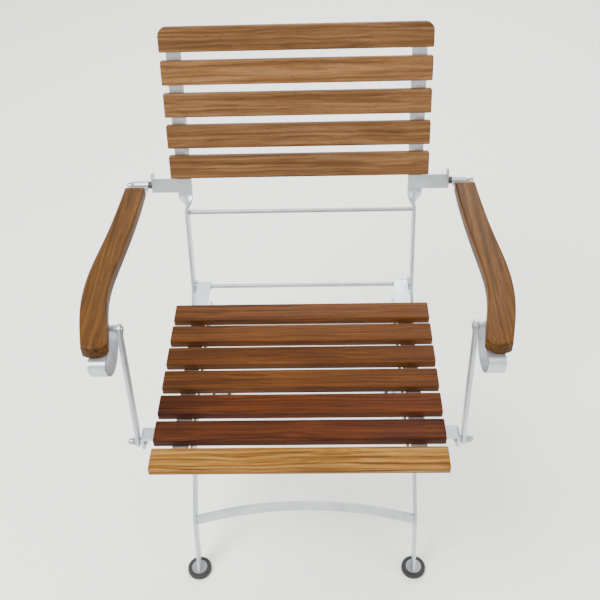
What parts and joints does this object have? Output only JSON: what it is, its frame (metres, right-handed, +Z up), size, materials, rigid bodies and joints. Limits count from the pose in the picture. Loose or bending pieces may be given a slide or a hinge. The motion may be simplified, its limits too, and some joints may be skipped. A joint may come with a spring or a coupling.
{
  "type": "folding armchair",
  "caption": "Folding garden armchair: flat steel bars carry wooden slats and curved wooden arms; seat, rear legs, arms and links fold up towards the back.",
  "frame": {"origin": "on the floor, midway between the sides and midway between the front and rear ends of the chair", "axes": "+Z up, -Y towards the front of the chair, +X towards the sitter's left"},
  "size_m": [0.645, 0.5674, 0.8759],
  "materials": {
    "teak_pale": "satin oiled",
    "teak_dark": "satin oiled",
    "teak_seat": "satin oiled",
    "teak_back": "satin oiled",
    "teak_arm": "satin oiled",
    "galvanised_bar": "satin galvanised",
    "galvanised_rod": "satin galvanised",
    "fastener_steel": "satin",
    "disc_steel": "matte",
    "washer_dark": "matte",
    "foot_rubber": "matte"
  },
  "bodies": {
    "back_frame": {"arm_bracket_left": "galvanised_bar", "arm_bracket_right": "galvanised_bar", "arm_pivot_bolts": "fastener_steel", "arm_pivot_washers": "washer_dark", "back_bar_left": "galvanised_bar", "back_bar_right": "galvanised_bar", "back_slat_1": "teak_back", "back_slat_2": "teak_back", "back_slat_3": "teak_back", "back_slat_4": "teak_back", "back_slat_5": "teak_back", "back_slat_screws": "fastener_steel", "front_foot_discs": "disc_steel", "front_foot_pads": "foot_rubber", "hinge_rod": "galvanised_rod", "hinge_spacers": "galvanised_rod", "leg_crossbar": "galvanised_bar", "scissor_rivets": "fastener_steel", "scissor_washers": "washer_dark", "upper_rod": "galvanised_rod"},
    "rear_frame": {"rear_foot_discs": "disc_steel", "rear_foot_pads": "foot_rubber", "rear_leg_left": "galvanised_bar", "rear_leg_right": "galvanised_bar", "rear_stretcher_rod": "galvanised_rod", "seat_support_rod": "galvanised_rod"},
    "seat": {"seat_bearer_left": "galvanised_bar", "seat_bearer_right": "galvanised_bar", "seat_bracket_left": "galvanised_bar", "seat_bracket_right": "galvanised_bar", "seat_rail_left": "galvanised_bar", "seat_rail_right": "galvanised_bar", "seat_slat_1": "teak_pale", "seat_slat_2": "teak_dark", "seat_slat_3": "teak_dark", "seat_slat_4": "teak_seat", "seat_slat_5": "teak_seat", "seat_slat_6": "teak_seat", "seat_slat_7": "teak_seat", "seat_slat_screws": "fastener_steel"},
    "arm_left": {"arm_rest_left": "teak_arm", "arm_screws_left": "fastener_steel", "arm_strap_left": "galvanised_bar"},
    "arm_right": {"arm_rest_right": "teak_arm", "arm_screws_right": "fastener_steel", "arm_strap_right": "galvanised_bar"},
    "link_left": {"arm_link_left": "galvanised_bar", "link_foot_bolt_left": "fastener_steel", "link_head_pin_left": "fastener_steel"},
    "link_right": {"arm_link_right": "galvanised_bar", "link_foot_bolt_right": "fastener_steel", "link_head_pin_right": "fastener_steel"}
  },
  "joints": [
    {"name": "seat_hinge", "type": "hinge", "parent": "back_frame", "child": "seat", "pos_m": [0, 0.14927, 0.41995], "axis": [-1, 0, 0], "range_deg": [0, 75]},
    {"name": "leg_scissor", "type": "hinge", "parent": "back_frame", "child": "rear_frame", "pos_m": [0, -0.01605, 0.25463], "axis": [-1, 0, 0], "range_deg": [0, 78]},
    {"name": "arm_pivot_left", "type": "hinge", "parent": "back_frame", "child": "arm_left", "pos_m": [0, 0.20616, 0.612], "axis": [-1, 0, 0], "range_deg": [0, 75]},
    {"name": "link_pivot_left", "type": "hinge", "parent": "arm_left", "child": "link_left", "pos_m": [0, -0.14784, 0.601], "axis": [1, 0, 0], "range_deg": [0, 75]},
    {"name": "arm_pivot_right", "type": "hinge", "parent": "back_frame", "child": "arm_right", "pos_m": [0, 0.20616, 0.612], "axis": [-1, 0, 0], "range_deg": [0, 75]},
    {"name": "link_pivot_right", "type": "hinge", "parent": "arm_right", "child": "link_right", "pos_m": [0, -0.14784, 0.601], "axis": [1, 0, 0], "range_deg": [0, 75]}
  ],
  "couplings": [
    {"joint": "leg_scissor", "follows": "seat_hinge", "ratio": 1.04},
    {"joint": "arm_pivot_left", "follows": "seat_hinge", "ratio": 1},
    {"joint": "link_pivot_left", "follows": "seat_hinge", "ratio": 1},
    {"joint": "arm_pivot_right", "follows": "seat_hinge", "ratio": 1},
    {"joint": "link_pivot_right", "follows": "seat_hinge", "ratio": 1}
  ]
}
